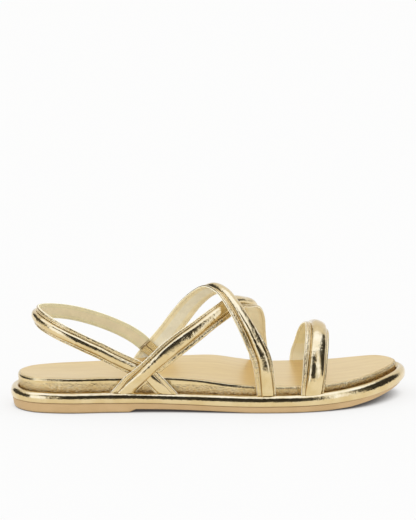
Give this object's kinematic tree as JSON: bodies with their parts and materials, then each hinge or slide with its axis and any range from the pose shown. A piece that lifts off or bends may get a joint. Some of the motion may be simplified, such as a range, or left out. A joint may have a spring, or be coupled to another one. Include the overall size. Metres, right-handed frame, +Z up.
{
  "type": "strappy slingback sandal",
  "caption": "Flat open sandal for the right foot with a padded rim, crossed puffed straps over the instep, a toe strap and a heel sling.",
  "frame": {"origin": "on the floor, at the middle of the sole's outer rim seen from above", "axes": "+X from heel to toe, +Y towards the inner (medial) side of the right foot, +Z up"},
  "size_m": [0.2614, 0.0951, 0.0781],
  "materials": {
    "foil_leather": "mirror-like pale gold foil leather, smooth on the puffed cores and finely crumpled on the stitched flanges",
    "footbed_leather": "satin pale gold leather, finely wrinkled where it turns under the rim",
    "insole_leather": "satin brushed pale gold leather",
    "lining_suede": "soft matt sand-coloured lining with a row of stitches along each edge",
    "outsole_rubber": "smooth matt tan rubber",
    "elastic_webbing": "ribbed bronze and gold elastic webbing",
    "gold_thread": "fine twisted pale gold sewing thread"
  },
  "bodies": {
    "root": {"outsole": "outsole_rubber", "padded_rim": "foil_leather", "footbed": "footbed_leather", "insole": "insole_leather", "instep_and_sling_straps": "foil_leather", "toe_strap": "foil_leather", "sling_elastic": "elastic_webbing"}
  },
  "joints": []
}
